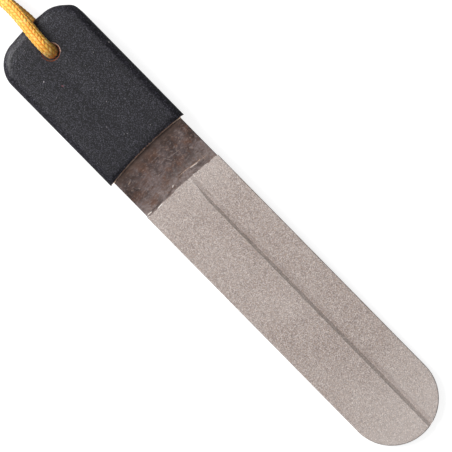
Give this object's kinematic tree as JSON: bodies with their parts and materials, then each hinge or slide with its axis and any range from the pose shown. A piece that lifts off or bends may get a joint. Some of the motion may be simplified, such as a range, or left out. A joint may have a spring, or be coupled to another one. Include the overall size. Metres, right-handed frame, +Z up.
{
  "type": "sharpening whetstone",
  "caption": "Flat pocket sharpening paddle with a diamond-plated working end, a V groove for hooks and points, a vinyl grip and a looped cord lanyard.",
  "frame": {"origin": "on the surface that the tool lies on, under the centre of the tool's own box, without its lanyard", "axes": "+X runs along the tool from the grip's closed end to the half round tip, +Z is up out of the front face, and +Y points to the side of the blade that carries the groove. The tool leans 1.8 degrees on the cord under its grip, so its faces are turned by that much about Y."},
  "size_m": [0.2425, 0.027, 0.0116],
  "materials": {
    "bare_steel": "satin",
    "diamond_plating": "matte",
    "grip_primer": "satin",
    "grip_vinyl": "matte",
    "braided_cord": "matte"
  },
  "bodies": {
    "root": {"steel_blank": "bare_steel", "diamond_plating": "diamond_plating", "grip_primer": "grip_primer", "grip_sleeve": "grip_vinyl", "lanyard_front_strand": "braided_cord", "lanyard_back_strand": "braided_cord", "lanyard_knot": "braided_cord", "lanyard_front_tail": "braided_cord", "lanyard_back_tail": "braided_cord"}
  },
  "joints": []
}
